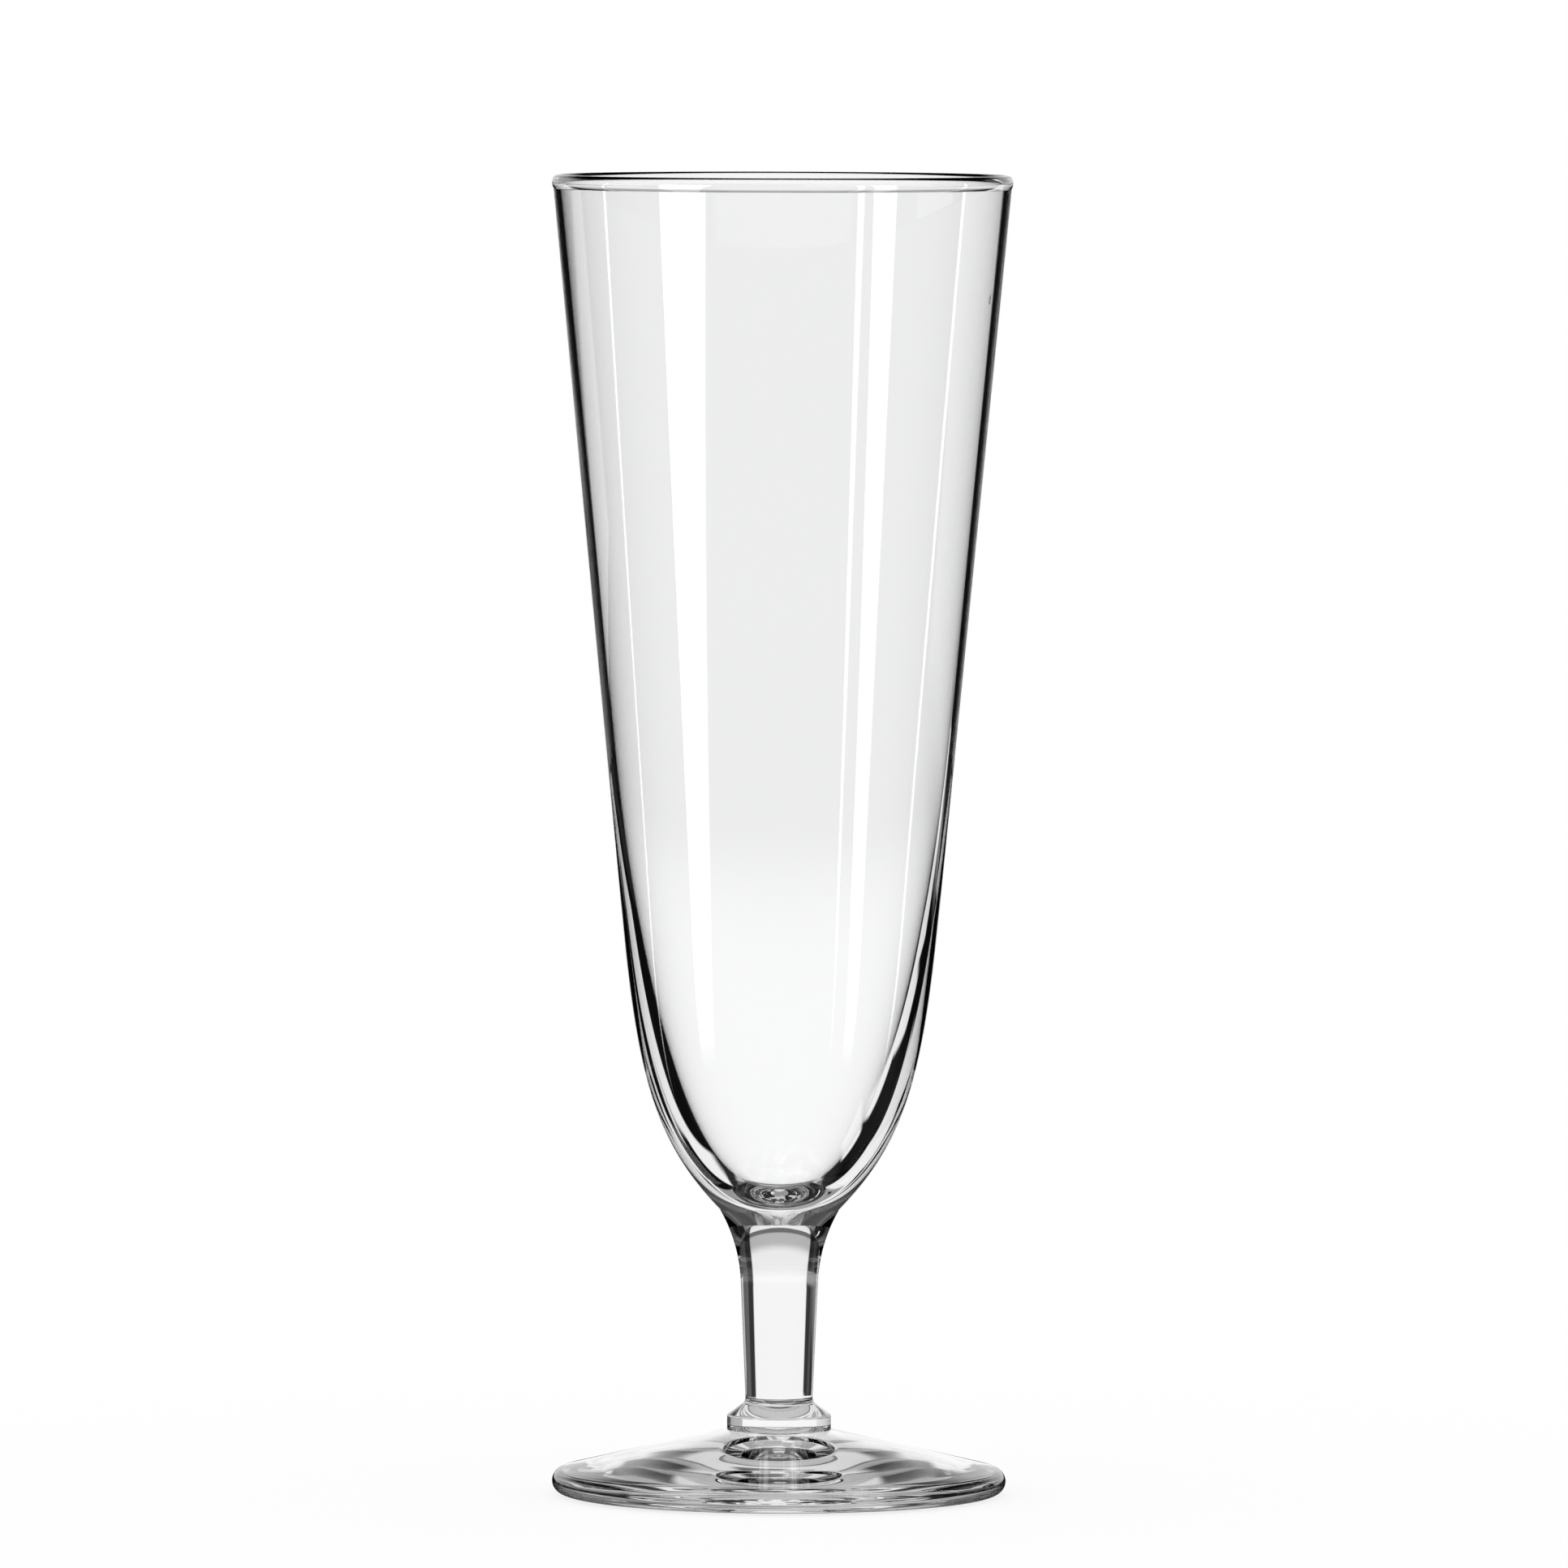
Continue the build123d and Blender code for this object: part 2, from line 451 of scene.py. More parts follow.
def worked_glass():
    """Node group for the marks of hot working: waves in the skin, a drift of the tint and a few seeds."""
    group = bpy.data.node_groups.get("worked_glass")
    if group is not None:
        return group
    group = bpy.data.node_groups.new("worked_glass", "ShaderNodeTree")
    new, link = group.nodes.new, group.links.new
    for label, kind in (
        ("Place", "NodeSocketVector"), ("Wave Count", "NodeSocketFloat"), ("Seed Count", "NodeSocketFloat"),
        ("Tint", "NodeSocketColor"), ("Polish", "NodeSocketFloat"),
    ):
        group.interface.new_socket(label, in_out="INPUT", socket_type=kind)
    for label, kind in (
        ("Colour", "NodeSocketColor"), ("Roughness", "NodeSocketFloat"), ("Height", "NodeSocketFloat"),
    ):
        group.interface.new_socket(label, in_out="OUTPUT", socket_type=kind)
    given, out = new("NodeGroupInput").outputs, new("NodeGroupOutput").inputs

    # Long waves, drawn out along the axis by the working
    drawn = new("ShaderNodeVectorMath")
    drawn.operation = "MULTIPLY"
    drawn.inputs[1].default_value = (1, 1, 0.3)
    waves = new("ShaderNodeTexNoise")
    waves.inputs["Detail"].default_value = 0.5
    waves.inputs["Roughness"].default_value = 0.35
    link_chain(
        group, given["Place"], drawn.inputs[0], drawn.outputs[0], waves.inputs["Vector"],
        given["Wave Count"], waves.inputs["Scale"],
    )

    # Seeds: pinhead bubbles in a few of the cells
    cells = new("ShaderNodeTexVoronoi")
    link_chain(group, given["Place"], cells.inputs["Vector"], given["Seed Count"], cells.inputs["Scale"])
    pick = new("ShaderNodeSeparateColor")
    link(cells.outputs["Color"], pick.inputs[0])
    rare = maths(group, "GREATER_THAN", pick.outputs["Red"], 0.93)
    seeds = maths(group, "MULTIPLY", smooth_step(group, cells.outputs["Distance"], 0.05, 0.03), rare)

    # Haze: a slight drift of the tint, and of the polish
    haze = new("ShaderNodeTexNoise")
    haze.inputs["Scale"].default_value = 24
    link(given["Place"], haze.inputs["Vector"])
    drift = maths(group, "MULTIPLY_ADD", haze.outputs[0], 0.006, 0.994)
    shade = new("ShaderNodeVectorMath")
    shade.operation = "SCALE"
    clean = maths(group, "MULTIPLY", drift, maths(group, "MULTIPLY_ADD", seeds, -0.4, 1))
    dull = smooth_step(group, haze.outputs[0], 0.45, 0.75)
    link_chain(
        group, given["Tint"], shade.inputs[0], clean, shade.inputs["Scale"], shade.outputs[0], out["Colour"],
        maths(group, "MULTIPLY_ADD", dull, given["Polish"], given["Polish"]), out["Roughness"],
        maths(group, "MULTIPLY_ADD", seeds, 2, waves.outputs[0]), out["Height"],
    )
    return group


def glass_material(name, waves, depth, seeds, polish):
    """Clear glass with the marks of its working, in the order of a row of WORKING."""
    material = bpy.data.materials.new(name)
    material.use_nodes = True
    tree = material.node_tree
    shader = tree.nodes["Principled BSDF"]
    shader.inputs["IOR"].default_value = GLASS_IOR
    shader.inputs["Transmission Weight"].default_value = 1
    marks = tree.nodes.new("ShaderNodeGroup")
    marks.node_tree = worked_glass()
    for label, value in (
        ("Wave Count", waves), ("Seed Count", seeds), ("Polish", polish),
        ("Tint", (*bpy.context.scene.pilsner_look.glass_tint, 1)),
    ):
        marks.inputs[label].default_value = value
    bump = tree.nodes.new("ShaderNodeBump")
    bump.inputs["Strength"].default_value = 1
    bump.inputs["Distance"].default_value = depth
    link_chain(
        tree, tree.nodes.new("ShaderNodeTexCoord").outputs["Object"], marks.inputs["Place"],
        marks.outputs["Colour"], shader.inputs["Base Color"],
        marks.outputs["Roughness"], shader.inputs["Roughness"],
        marks.outputs["Height"], bump.inputs["Height"], bump.outputs["Normal"], shader.inputs["Normal"],
    )
    return material


# Operators, one for each piece and one for the stage
class PILSNER_OT_foot(bpy.types.Operator):
    """Turn the hollow foot"""

    bl_idname = "pilsner.foot"
    bl_label = "Foot"

    def execute(self, context):
        outline = foot_outline(context.scene.pilsner_sizes)
        turn_piece("foot", outline, glass_material(*WORKING["foot"]))
        return {"FINISHED"}


class PILSNER_OT_collar(bpy.types.Operator):
    """Turn the ring collar at the foot of the stem"""

    bl_idname = "pilsner.collar"
    bl_label = "Collar"

    def execute(self, context):
        outline = collar_outline(context.scene.pilsner_sizes)
        turn_piece("stem_collar", outline, glass_material(*WORKING["stem_collar"]))
        return {"FINISHED"}


class PILSNER_OT_stem(bpy.types.Operator):
    """Turn the solid stem"""

    bl_idname = "pilsner.stem"
    bl_label = "Stem"

    def execute(self, context):
        outline = stem_outline(context.scene.pilsner_sizes)
        turn_piece("stem", outline, glass_material(*WORKING["stem"]))
        return {"FINISHED"}


class PILSNER_OT_bowl(bpy.types.Operator):
    """Turn the bowl with its heavy base"""

    bl_idname = "pilsner.bowl"
    bl_label = "Bowl"

    def execute(self, context):
        outline = bowl_outline(context.scene.pilsner_sizes)
        turn_piece("bowl", outline, glass_material(*WORKING["bowl"]))
        return {"FINISHED"}


class PILSNER_OT_rim(bpy.types.Operator):
    """Turn the rim's rolled bead"""

    bl_idname = "pilsner.rim"
    bl_label = "Rim Bead"

    def execute(self, context):
        outline = rim_outline(context.scene.pilsner_sizes)
        turn_piece("rim_bead", outline, glass_material(*WORKING["rim_bead"]))
        return {"FINISHED"}


class PILSNER_OT_stage(bpy.types.Operator):
    """Set the white sweep, the painted flag shade, the lamps and the camera"""

    bl_idname = "pilsner.stage"
    bl_label = "Stage"

    def execute(self, context):
        build_world(context.scene)
        build_floor(context.scene)
        build_strips(context.scene)
        build_camera(context.scene)
        return {"FINISHED"}


# Light of the studio. A ray is told apart by how it came through the glass, and then by where it ends.
# Bands of bearing are in degrees: from, to, and the softness of the edges.
SWEEP = (-37, 37, 1.5)
SWEEP_FOOT = (-9, 8, 1)
SIDE_CARD = (-103, -77, 1.5)
PAPER_BEHIND = (-34, 32, 1.5)
PAPER_LEFT = (-122, -66, 1.5)
PAPER_RIGHT = (100, 170, 1.5)
DIM_CARD_LEFT, DIM_LEFT = (-52, -43, 2), 0.085
DIM_CARD_RIGHT, DIM_RIGHT = (43, 80, 3), 0.14
DARKEST = 0.035
FAR_WALL_LIGHT = 0.25
CEILING_LIGHT = 0.06
SKY_CLOUDS, FLOOR_CLOUDS = 7, 80

# Changes of the paper's light with height, as the solid glass shows it: from, to, and how much is added
HEIGHT_STEPS = ((0, 0.08, -0.1), (0.2, 0.32, -0.4), (0.42, 0.45, -0.35), (0.5, 0.52, 0.8), (0.6, 0.66, -0.95))

# Painted shade in square flag shapes on the paper behind the glass: band across, band along, and darkness
PAINTED_FLAG_SHADES = (
    ((-0.015, 0.035, 0.004), (0.34, 0.65, 0.01), 1),
    ((0.0015, 0.02, 0.0015), (0.05, 0.11, 0.005), 1),
    ((-0.024, 0.024, 0.003), (0.055, 0.19, 0.008), 0.65),
    ((0.09, 0.16, 0.004), (0.2, 0.42, 0.015), 1),
)
DISC_RADIUS, DISC_STEPS, DISC_LEVEL = 1.2, 96, -0.0003

# Strip lamps: bearings of the two lower corners and of the two upper ones
STRIPS = (
    (-125.7, -114, -150.3, -124.1), (139, 139.8, 143.8, 147.8), (120.4, 128.4, 128.4, 141.2),
    (-72.2, -70.8, -93.6, -91.6), (85.3, 87.5, 85.3, 87.5),
)
STRIP_DISTANCE, STRIP_HEIGHT, STRIP_LIGHT = 0.15, 0.23, 4


def ray_kinds(tree):
    """Masks of the rays that come off and through the glass, and of all of them together.

    skin: reflected by the outer skin. inner: turned back once inside the glass. deep: turned back more often.
    far: turned back by the far wall of the bowl. solid: straight through the stem, the collar or the foot.
    bowl: straight through both walls of the bowl.
    """
    path = tree.nodes.new("ShaderNodeLightPath").outputs
    turns, crossings = path["Glossy Depth"], path["Transmission Depth"]
    back = maths(tree, "GREATER_THAN", turns, 0.5)
    many = maths(tree, "GREATER_THAN", turns, 1.5)
    entered = maths(tree, "GREATER_THAN", crossings, 0.5)
    crossed = maths(tree, "GREATER_THAN", crossings, 3.5)
    on, within = rest_of(tree, back), maths(tree, "SUBTRACT", entered, crossed)
    skin = product(tree, back, rest_of(tree, entered))
    deep = product(tree, many, within)
    inner = maths(tree, "SUBTRACT", product(tree, back, within), deep)
    far, bowl = product(tree, back, crossed), product(tree, on, crossed)
    solid = product(tree, on, within)
    seen = maths(tree, "MAXIMUM", path["Is Glossy Ray"], path["Is Transmission Ray"])
    return skin, inner, deep, far, solid, bowl, seen


def bearing(tree, place):
    """Bearing of a place or direction in degrees, 0 behind the glass and 90 to its right, and its height."""
    parts = tree.nodes.new("ShaderNodeSeparateXYZ")
    tree.links.new(place, parts.inputs[0])
    turn = maths(tree, "ARCTAN2", parts.outputs["X"], parts.outputs["Y"])
    return maths(tree, "MULTIPLY", turn, 180 / pi), parts.outputs["Z"]


def between(tree, value, low, high, soft):
    """1 between low and high, falling to 0 over soft on both sides."""
    rise = smooth_step(tree, value, low - soft, low + soft)
    fall = smooth_step(tree, value, high + soft, high - soft)
    return maths(tree, "MULTIPLY", rise, fall)


def beyond(tree, turn, low, high):
    """1 where a bearing is more than high to either side, 0 where it is less than low."""
    return smooth_step(tree, maths(tree, "ABSOLUTE", turn), low, high)


def line(tree, value, start, slope):
    """start + slope * value"""
    return maths(tree, "MULTIPLY_ADD", value, slope, start)


def rest_of(tree, value):
    """1 - value"""
    return maths(tree, "SUBTRACT", 1, value)


def product(tree, *values):
    """The values multiplied together."""
    total = values[0]
    for value in values[1:]:
        total = maths(tree, "MULTIPLY", total, value)
    return total


def largest(tree, *values):
    """The largest of the values."""
    top = values[0]
    for value in values[1:]:
        top = maths(tree, "MAXIMUM", top, value)
    return top


def smallest(tree, *values):
    """The smallest of the values."""
    least = values[0]
    for value in values[1:]:
        least = maths(tree, "MINIMUM", least, value)
    return least


def chosen(tree, masks, values):
    """The values summed, each counted by its mask."""
    total = 0
    for mask, value in zip(masks, values):
        total = maths(tree, "MULTIPLY_ADD", mask, value, total)
    return total


def clouds(tree, place, scale):
    """Soft noise over a place, about 0.5 on average."""
    cloud = tree.nodes.new("ShaderNodeTexNoise")
    cloud.inputs["Scale"].default_value = scale
    cloud.inputs["Detail"].default_value = 1
    tree.links.new(place, cloud.inputs["Vector"])
    return cloud.outputs[0]


def mixed_colour(tree, share, first, second):
    """A colour between two, which are triples or sockets."""
    mix = tree.nodes.new("ShaderNodeMix")
    mix.data_type = "RGBA"
    mix.clamp_factor = False
    tree.links.new(share, mix.inputs["Factor"])
    for label, given in (("A", first), ("B", second)):
        if isinstance(given, bpy.types.NodeSocket):
            tree.links.new(given, mix.inputs[label])
        else:
            mix.inputs[label].default_value = (*given, 1)
    return mix.outputs["Result"]


def through_stem(tree, turn):
    """Light that the stem shows straight through, by bearing: paper on four sides and dim cards between."""
    return largest(
        tree, between(tree, turn, *PAPER_BEHIND), between(tree, turn, *PAPER_LEFT),
        between(tree, turn, *PAPER_RIGHT), beyond(tree, turn, 144, 148),
        product(tree, between(tree, turn, *DIM_CARD_RIGHT), DIM_RIGHT),
        product(tree, between(tree, turn, *DIM_CARD_LEFT), DIM_LEFT), DARKEST,
    )


# The world, by kind of ray
def sky_off_skin(tree, turn, rise, above, sweep):
    """What the outer skin reflects: the sweep, high paper on both sides and two low cards."""
    paper = largest(tree, between(tree, turn, -125, 36, 1.5), between(tree, turn, *PAPER_RIGHT))
    card_left = product(tree, between(tree, turn, -57, -36, 1.5), smooth_step(tree, rise, -0.085, -0.096))
    card_right = product(tree, between(tree, turn, 33, 75, 1), rest_of(tree, above))
    lit = largest(tree, sweep, product(tree, above, paper), card_left, card_right)
    return product(tree, lit, smooth_step(tree, rise, 0.45, 0.25))


def sky_turned_once(tree, turn, rise, sweep, side, broken):
    """What one turn inside the glass shows: the sweep less a slot, high paper in front, the side card."""
    slot = product(tree, between(tree, turn, -10, -3, 1), between(tree, rise, -0.035, 0.035, 0.01))
    slotted = product(tree, sweep, rest_of(tree, slot))
    front = product(tree, beyond(tree, turn, 141, 145), smooth_step(tree, rise, 0.1, 0.2))
    return largest(tree, product(tree, largest(tree, slotted, front), broken), side)


def sky_turned_often(tree, turn, rise, sweep, side, broken):
    """What more turns show: the middle of the sweep, the low side card, paper overhead and in front."""
    spot = product(tree, between(tree, turn, -3, 18, 3), between(tree, rise, 0.2, 0.5, 0.03))
    middle = product(tree, sweep, between(tree, turn, -34, 34, 2), broken, line(tree, spot, 0.9, -0.75))
    low_side = product(tree, side, between(tree, rise, -0.03, 0.05, 0.015))
    overhead = product(tree, between(tree, turn, -40, 40, 3), between(tree, rise, 0.8, 0.905, 0.01))
    front = product(
        tree, beyond(tree, turn, 158, 164), line(tree, smooth_step(tree, rise, 0.7, 0.8), 0.72, -0.72)
    )
    return largest(tree, middle, low_side, overhead, front)


def sky_straight(tree, turn, rise):
    """What solid glass shows straight through: paper by bearing and height, and paper past the floor."""
    raised = product(tree, between(tree, turn, -68, -32, 1.5), between(tree, rise, -0.02, 0.08, 0.01), 0.3)
    low_right = product(tree, between(tree, turn, 62, 98, 3), smooth_step(tree, rise, 0.08, 0.03), 0.8)
    past_floor = smooth_step(tree, rise, -0.065, -0.08)
    lit = largest(tree, through_stem(tree, turn), raised, low_right, past_floor)
    steps = [smooth_step(tree, rise, low, high) for low, high, _ in HEIGHT_STEPS]
    added = chosen(tree, steps, [change for _, _, change in HEIGHT_STEPS])
    return product(tree, lit, maths(tree, "ADD", added, 1))


def build_world(scene):
    """White for the camera; for the glass, a lit sweep, paper and cards in a dark room."""
    world = bpy.data.worlds.new("white_studio")
    scene.world = world
    world.use_nodes = True
    tree = world.node_tree
    look = scene.pilsner_look
    place = tree.nodes.new("ShaderNodeTexCoord").outputs["Generated"]
    turn, rise = bearing(tree, place)

    above = smooth_step(tree, rise, -0.006, 0.02)
    sweep = largest(tree, between(tree, turn, *SWEEP_FOOT), product(tree, above, between(tree, turn, *SWEEP)))
    side = product(
        tree, between(tree, turn, *SIDE_CARD), smooth_step(tree, rise, -0.13, -0.1),
        smooth_step(tree, rise, 0.5, 0.2),
    )
    gaps = smooth_step(tree, clouds(tree, place, SKY_CLOUDS), 0.53, 0.47)
    broken = line(tree, product(tree, gaps, smooth_step(tree, rise, 0.25, 0.35)), 1, -0.55)
    ceiling = product(tree, smooth_step(tree, rise, 0.4, 0.6), CEILING_LIGHT)

    *masks, seen = ray_kinds(tree)
    skin = sky_off_skin(tree, turn, rise, above, sweep)
    inner = largest(tree, sky_turned_once(tree, turn, rise, sweep, side, broken), ceiling)
    deep = largest(tree, sky_turned_often(tree, turn, rise, sweep, side, broken), ceiling)
    solid = sky_straight(tree, turn, rise)
    lit = chosen(tree, masks, (skin, inner, deep, FAR_WALL_LIGHT, solid, 1))
    room = mixed_colour(tree, lit, look.flag, look.paper)
    tree.links.new(mixed_colour(tree, seen, look.paper, room), tree.nodes["Background"].inputs["Color"])
    tree.nodes["Background"].inputs["Strength"].default_value = 1


# Things that stand in the studio
def stage_object(scene, name, points, faces, material, seen_by_camera):
    """A mesh of the studio, seen by the camera or only by rays off and through the glass."""
    mesh = bpy.data.meshes.new(name)
    mesh.from_pydata(points, [], faces)
    mesh.materials.append(material)
    thing = bpy.data.objects.new(name, mesh)
    scene.collection.objects.link(thing)
    if not seen_by_camera:
        thing.visible_camera = thing.visible_diffuse = thing.visible_shadow = False
    return thing


def stage_material(name):
    """An empty material and its tree, with the output node ready."""
    material = bpy.data.materials.new(name)
    material.use_nodes = True
    tree = material.node_tree
    tree.nodes.clear()
    return material, tree, tree.nodes.new("ShaderNodeOutputMaterial").inputs["Surface"]


# The floor's painted light and shade for the glass, by kind of ray, in metres: across to the right of the
# axis, along behind it, away all round it
def painted_flag_shade(tree, across, along):
    """Painted shade on the paper in the shape of dark flags: the square ones, one that bends aside and one
    with a slanted near edge.
    """
    # Each flag here is a painted dark patch in the floor's glow
    flags = [
        product(tree, between(tree, across, *wide), between(tree, along, *deep), dark)
        for wide, deep, dark in PAINTED_FLAG_SHADES
    ]
    bend = product(tree, largest(tree, maths(tree, "SUBTRACT", along, 0.25), 0), 0.25)
    bent = maths(tree, "ADD", maths(tree, "ADD", across, 0.05), bend)
    flags.append(product(
        tree, between(tree, bent, -0.025, 0.02, 0.004), between(tree, along, 0.19, 0.55, 0.008),
    ))
    slanted = maths(tree, "SUBTRACT", along, line(tree, across, 0.0086, -1.6))
    flags.append(product(
        tree, between(tree, across, -0.085, -0.02, 0.004), smooth_step(tree, slanted, -0.004, 0.004),
        smooth_step(tree, along, 0.215, 0.195),
    ))
    return largest(tree, *flags)


def painted_light_fan(tree, across, along, away):
    """Painted light on the floor behind the glass, in place of lit paper: a fan and a narrow strip to its
    right, with painted dark flags.
    """
    left = smallest(tree, line(tree, along, 0.05, 0.43), line(tree, along, 0.135, 0.16))
    right = smallest(
        tree, line(tree, along, 0.048, 0.255), line(tree, along, 0.13, 0.13),
        line(tree, along, -0.0113, 0.714),
    )
    fan = smallest(tree, maths(tree, "ADD", left, across), maths(tree, "SUBTRACT", right, across))
    strip_left = largest(
        tree, line(tree, along, 0.08, 0.29), line(tree, along, 0.02, 0.55),
        smallest(tree, line(tree, along, 0.057, 0.67), 0.124),
    )
    strip_right = line(tree, along, 0.085, 0.52)
    strip = smallest(
        tree, maths(tree, "SUBTRACT", across, strip_left), maths(tree, "SUBTRACT", strip_right, across)
    )
    return product(
        tree, smooth_step(tree, largest(tree, fan, strip), -0.003, 0.003),
        rest_of(tree, painted_flag_shade(tree, across, along)),
        smooth_step(tree, along, 0.03, 0.05), smooth_step(tree, away, 0.053, 0.06),
    )


def floor_turned_once(tree, turn, away, fan, near, patches, below):
    """What shows after one turn inside the glass, all painted light: the fan, a card at the right and patches
    under the foot.
    """
    # Painted light of a card at the right
    card = product(tree, between(tree, turn, 60, 80, 1.5), between(tree, away, 0.067, 0.1, 0.004))
    under = product(tree, below, line(tree, patches, 0.3, 0.5))
    return largest(tree, fan, card, product(tree, near, 0.02), under)


def floor_turned_often(tree, across, along, fan, near, under):
    """What shows after more turns, all painted light: the near paper behind and before the glass, and a trace
    of the fan.
    """
    middle = product(tree, near, between(tree, across, -0.008, 0.006, 0.002))
    behind = product(tree, middle, smooth_step(tree, along, 0.015, 0.025))
    before = product(tree, middle, smooth_step(tree, along, -0.03, -0.035))
    return largest(tree, product(tree, largest(tree, behind, before, under), 0.58), product(tree, fan, 0.1))


def floor_straight(tree, turn, away, near):
    """What solid glass shows straight through, all painted light: near paper, paper by bearing, and rings for
    high views.
    """
    slant = tree.nodes.new("ShaderNodeLayerWeight")
    slant.inputs["Blend"].default_value = 0.5
    facing = slant.outputs["Facing"]
    # Painted light for rays that meet the floor steeply
    steep_left = product(tree, smooth_step(tree, facing, 0.82, 0.78), between(tree, turn, -80, 0, 1.5))
    steep_far = product(tree, smooth_step(tree, facing, 0.9, 0.86), smooth_step(tree, away, 0.35, 0.45))
    ring_left = product(tree, between(tree, turn, -70, -30, 1.5), between(tree, away, 0.1, 0.45, 0.03))
    ring_right = product(tree, between(tree, away, 0.06, 0.18, 0.02), between(tree, turn, 30, 58, 3), 0.5)
    ring_front = product(tree, between(tree, away, 0.06, 0.5, 0.03), beyond(tree, turn, 98, 102), 0.75)
    return largest(
        tree, near, through_stem(tree, turn), steep_left, steep_far, ring_left, ring_right, ring_front
    )


def shadow_paper(tree, look, away):
    """White paper that takes a soft shadow near the glass and fades into the white world."""
    paper, glow = tree.nodes.new("ShaderNodeBsdfDiffuse"), tree.nodes.new("ShaderNodeEmission")
    paper.inputs["Color"].default_value = glow.inputs["Color"].default_value = (*look.paper, 1)
    fade = tree.nodes.new("ShaderNodeMixShader")
    link_chain(
        tree, product(tree, smooth_step(tree, away, 0.4, 0.15), 0.2), fade.inputs[0],
        glow.outputs[0], fade.inputs[1], paper.outputs[0], fade.inputs[2],
    )
    return fade.outputs[0]


def build_floor(scene):
    """A pale disc that keeps the shadow and fades into the white world; to the glass it glows with painted
    light and shade in place of lit paper.
    """
    look = scene.pilsner_look
    material, tree, surface = stage_material("paper_floor")
    place = tree.nodes.new("ShaderNodeTexCoord").outputs["Object"]
    parts = tree.nodes.new("ShaderNodeSeparateXYZ")
    span = tree.nodes.new("ShaderNodeVectorMath")
    span.operation = "LENGTH"
    link_chain(tree, place, parts.inputs[0], place, span.inputs[0])
    across, along, away = parts.outputs["X"], parts.outputs["Y"], span.outputs["Value"]
    turn = bearing(tree, place)[0]

    # The fan is a painted pool of light, seen only by the glass
    fan = painted_light_fan(tree, across, along, away)
    # Painted light near the foot: a bright disc round it, and cloudy patches of light under it
    near = smooth_step(tree, away, 0.075, 0.05)
    below = smooth_step(tree, away, 0.045, 0.035)
    patches = smooth_step(tree, clouds(tree, place, FLOOR_CLOUDS), 0.52, 0.57)
    under = product(tree, patches, below)

    # Painted light of a bright card off to the right, which the outer skin reflects
    card = product(tree, between(tree, turn, 33, 75, 1.5), smooth_step(tree, away, 0.75, 0.95))
    skin = largest(tree, between(tree, turn, -13, 13, 1.5), card)
    inner = floor_turned_once(tree, turn, away, fan, near, patches, below)
    deep = floor_turned_often(tree, across, along, fan, near, under)
    # Painted light for rays off the bowl's far wall and straight through the bowl: dimmer close to the foot,
    # with patches
    rising = line(tree, smooth_step(tree, away, 0.045, 0.06), 0.08, 0.17)
    far = maths(tree, "MULTIPLY_ADD", under, 0.5, rising)
    solid = floor_straight(tree, turn, away, near)
    clear = largest(tree, smooth_step(tree, away, 0.026, 0.038), line(tree, patches, 0.08, 0.6))
    bowl = product(tree, line(tree, smooth_step(tree, away, 1.2, 0.4), 1, 0.12), clear)

    *masks, seen = ray_kinds(tree)
    lit = chosen(tree, masks, (skin, inner, deep, far, solid, bowl))
    # To the glass the floor glows with painted light and shade, from the flag colour up to the paper colour
    painted_glow = tree.nodes.new("ShaderNodeEmission")
    pick = tree.nodes.new("ShaderNodeMixShader")
    link_chain(
        tree, mixed_colour(tree, lit, look.flag, look.paper), painted_glow.inputs["Color"], seen, pick.inputs[0],
        shadow_paper(tree, look, away), pick.inputs[1], painted_glow.outputs[0], pick.inputs[2],
        pick.outputs[0], surface,
    )
    angles = [2 * pi * i / DISC_STEPS for i in range(DISC_STEPS)]
    rim = [(DISC_RADIUS * cos(a), DISC_RADIUS * sin(a), DISC_LEVEL) for a in angles]
    stage_object(scene, "floor", rim, [range(DISC_STEPS)], material, True)


def strip_corner(turn, level):
    """A corner of a strip lamp: its bearing in degrees from behind the glass, and its height."""
    a = radians(turn)
    return STRIP_DISTANCE * sin(a), STRIP_DISTANCE * cos(a), level


def build_strips(scene):
    """Upright strip lamps round the glass, which draw the streaks on the wall."""
    material, tree, surface = stage_material("strip_lamp")
    lamp = tree.nodes.new("ShaderNodeEmission")
    lamp.inputs["Color"].default_value = (*scene.pilsner_look.paper, 1)
    level = bearing(tree, tree.nodes.new("ShaderNodeTexCoord").outputs["Object"])[1]
    clear = tree.nodes.new("ShaderNodeBsdfTransparent")
    pick = tree.nodes.new("ShaderNodeMixShader")
    link_chain(
        tree, product(tree, smooth_step(tree, level, 0, 0.05), STRIP_LIGHT), lamp.inputs["Strength"],
        ray_kinds(tree)[0], pick.inputs[0], clear.outputs[0], pick.inputs[1], lamp.outputs[0], pick.inputs[2],
        pick.outputs[0], surface,
    )
    points, faces = [], []
    for low, high, top_low, top_high in STRIPS:
        faces.append([len(points) + i for i in range(4)])
        points += [strip_corner(low, 0), strip_corner(high, 0)]
        points += [strip_corner(top_high, STRIP_HEIGHT), strip_corner(top_low, STRIP_HEIGHT)]
    stage_object(scene, "strips", points, faces, material, False)


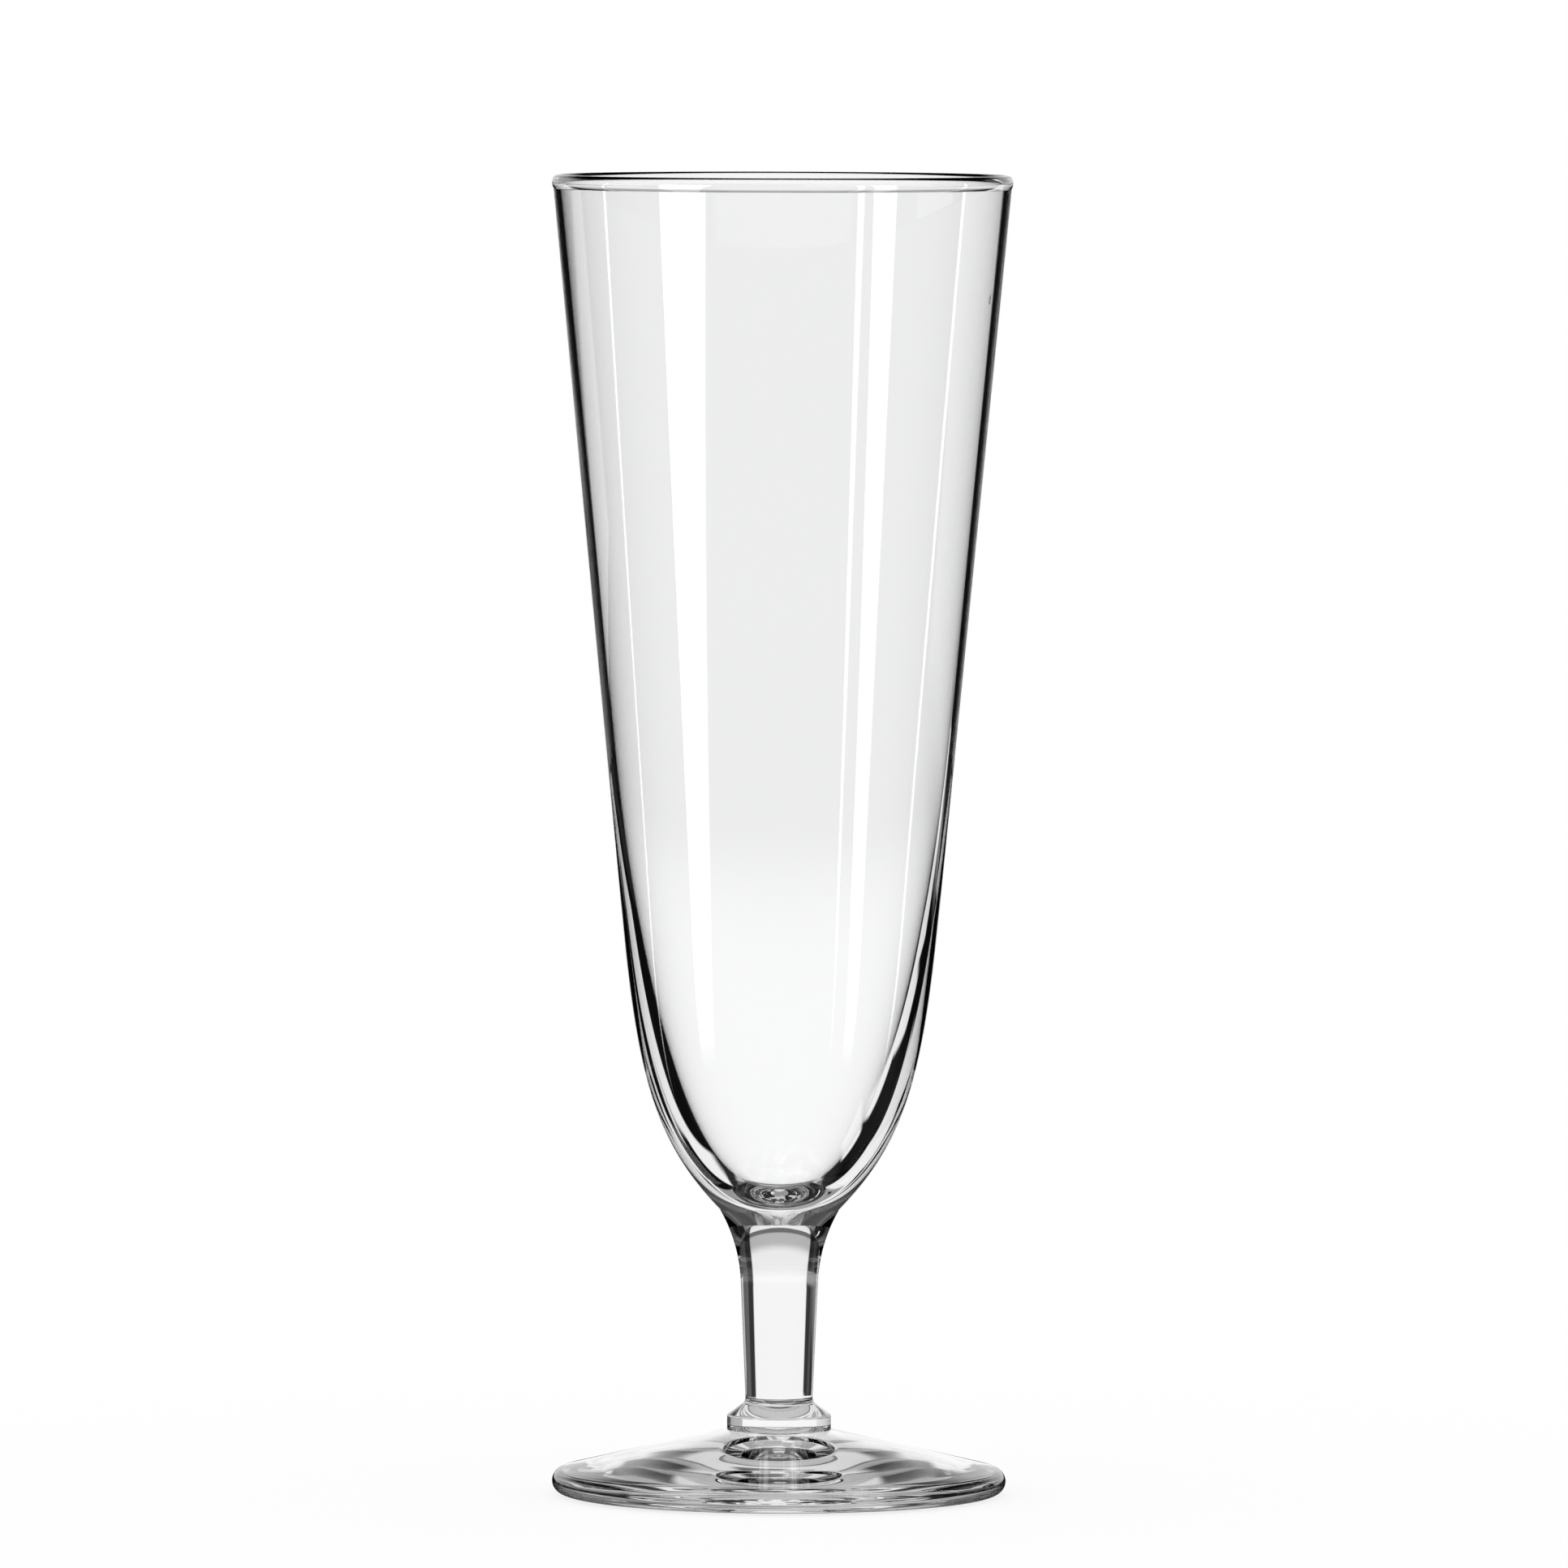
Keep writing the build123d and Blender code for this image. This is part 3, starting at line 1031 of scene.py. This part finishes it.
def build_camera(scene):
    """A long lens a little above the rim, tipped down to the middle of the glass."""
    side, away, height, aim = 0.0005, 2.5, 0.247, 0.1126
    pixels_per_metre = 7780
    roll = radians(0.17)
    data = bpy.data.cameras.new("camera")
    camera = bpy.data.objects.new("camera", data)
    scene.collection.objects.link(camera)
    camera.location = (side, -away, height)
    heading = Vector((0, away, aim - height))
    turn = heading.to_track_quat("-Z", "Y").to_matrix() @ Matrix.Rotation(roll, 3, "Z")
    camera.rotation_euler = turn.to_euler()
    data.sensor_width = 36
    data.lens = data.sensor_width * pixels_per_metre * heading.length / PICTURE_WIDTH
    data.clip_end = 100
    scene.camera = camera
    scene.view_settings.view_transform = "Standard"
    scene.cycles.glossy_bounces = 12
    scene.cycles.transparent_max_bounces = 24


class PILSNER_PT_panel(bpy.types.Panel):
    """Sizes, colours and the steps that build the glass"""

    bl_idname = "PILSNER_PT_panel"
    bl_label = "Pilsner Glass"
    bl_space_type = "VIEW_3D"
    bl_region_type = "UI"
    bl_category = "Pilsner"

    def draw(self, context):
        for group in (context.scene.pilsner_sizes, context.scene.pilsner_look):
            for name in group.bl_rna.properties.keys():
                if name not in ("rna_type", "name"):
                    self.layout.prop(group, name)
        for operator in OPERATORS:
            self.layout.operator(operator.bl_idname)


OPERATORS = (
    PILSNER_OT_foot, PILSNER_OT_collar, PILSNER_OT_stem, PILSNER_OT_bowl, PILSNER_OT_rim, PILSNER_OT_stage,
)
CLASSES = (GlassSizes, GlassLook, *OPERATORS, PILSNER_PT_panel)


def register():
    for cls in CLASSES:
        bpy.utils.register_class(cls)
    bpy.types.Scene.pilsner_sizes = PointerProperty(type=GlassSizes)
    bpy.types.Scene.pilsner_look = PointerProperty(type=GlassLook)


def unregister():
    del bpy.types.Scene.pilsner_sizes, bpy.types.Scene.pilsner_look
    for cls in reversed(CLASSES):
        bpy.utils.unregister_class(cls)


def main():
    register()
    bpy.ops.pilsner.foot()
    bpy.ops.pilsner.collar()
    bpy.ops.pilsner.stem()
    bpy.ops.pilsner.bowl()
    bpy.ops.pilsner.rim()
    bpy.ops.pilsner.stage()


if __name__ == "__main__":
    main()
